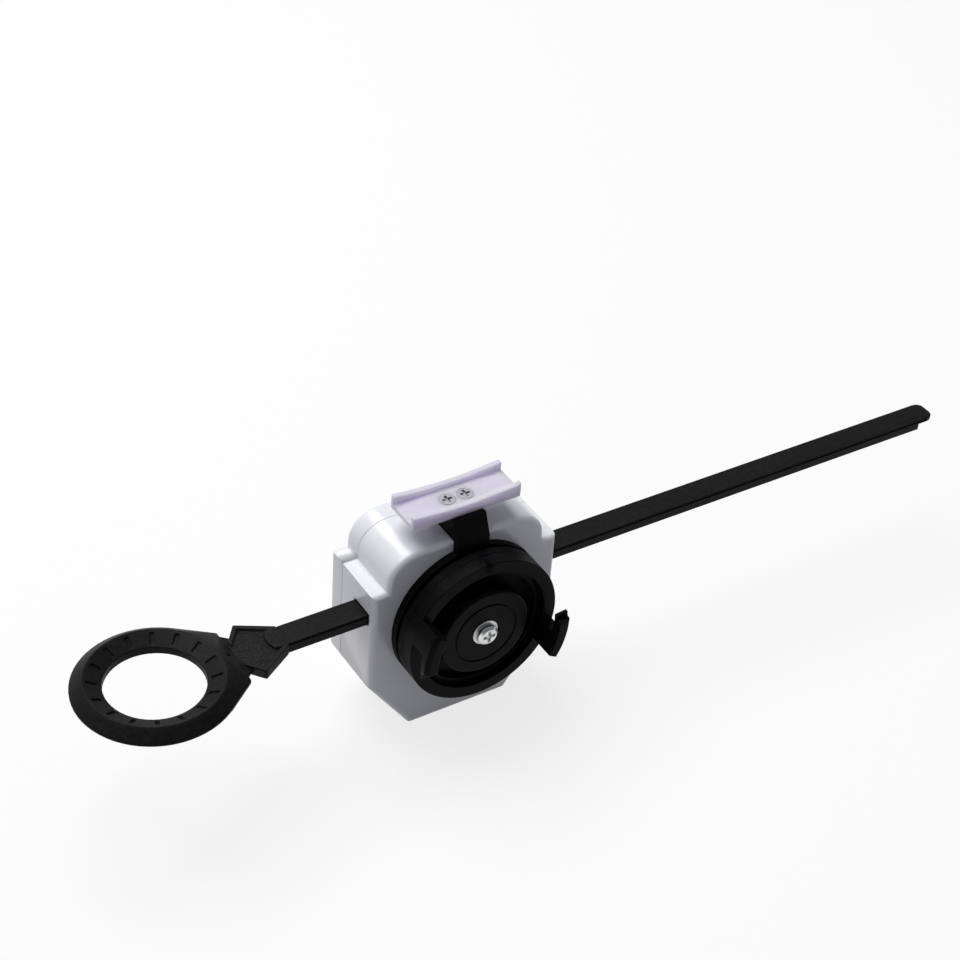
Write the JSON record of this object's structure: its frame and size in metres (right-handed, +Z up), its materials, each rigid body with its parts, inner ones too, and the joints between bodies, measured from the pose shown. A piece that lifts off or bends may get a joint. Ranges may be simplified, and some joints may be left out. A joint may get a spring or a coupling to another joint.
{
  "type": "spinning top launcher",
  "caption": "Ripcord launcher for a spinning top: a toothed pull strip with a finger ring drives a pronged turret on the front of a compact white casing with a grip plate on top.",
  "frame": {"origin": "on the turret's axis, in the plane of the disc that a top seats on", "axes": "+X along the ripcord to its tip, +Y from the turret's face into the casing, +Z up from the casing's foot"},
  "size_m": [0.2505, 0.0414, 0.0654],
  "materials": {
    "ripcord_plastic": "semi-gloss black moulding",
    "casing_plastic": "glossy white moulding",
    "frame_plastic": "fine satin black moulding",
    "grip_plastic": "glossy lavender white moulding",
    "turret_plastic": "semi-gloss black moulding",
    "hub_plastic": "satin dark grey moulding",
    "gear_plastic": "natural acetal",
    "screw_steel": "zinc plated",
    "washer_steel": "plain steel",
    "shaft_steel": "ground steel",
    "bush_bronze": "sintered bronze"
  },
  "bodies": {
    "casing": {"front_casing": "casing_plastic", "back_cover": "casing_plastic", "casing_screws": "screw_steel", "front_frame": "frame_plastic", "frame_screws": "screw_steel", "grip_plate": "grip_plastic", "grip_screws": "screw_steel", "front_bush": "bush_bronze", "rear_bush": "bush_bronze", "rack_guide": "gear_plastic"},
    "ripcord": {"ripcord": "ripcord_plastic"},
    "turret": {"turret_drum": "turret_plastic", "prong_ring": "turret_plastic", "prong_screws": "screw_steel", "hub_disc": "hub_plastic", "turret_washer": "washer_steel", "turret_screw": "screw_steel", "gear_shaft": "shaft_steel", "drive_gear": "gear_plastic", "gear_pin": "shaft_steel", "thrust_washer": "washer_steel"}
  },
  "joints": [
    {"name": "cord_pull", "type": "slide", "parent": "casing", "child": "ripcord", "axis": [-1, 0, 0], "range_m": [-0.0205, 0.138]},
    {"name": "turret_spin", "type": "hinge", "parent": "casing", "child": "turret", "pos_m": [0, 0, 0], "axis": [0, -1, 0], "range_deg": [-265, 1760]}
  ],
  "couplings": [
    {"joint": "turret_spin", "follows": "cord_pull", "rad_per_m": 222.22}
  ]
}
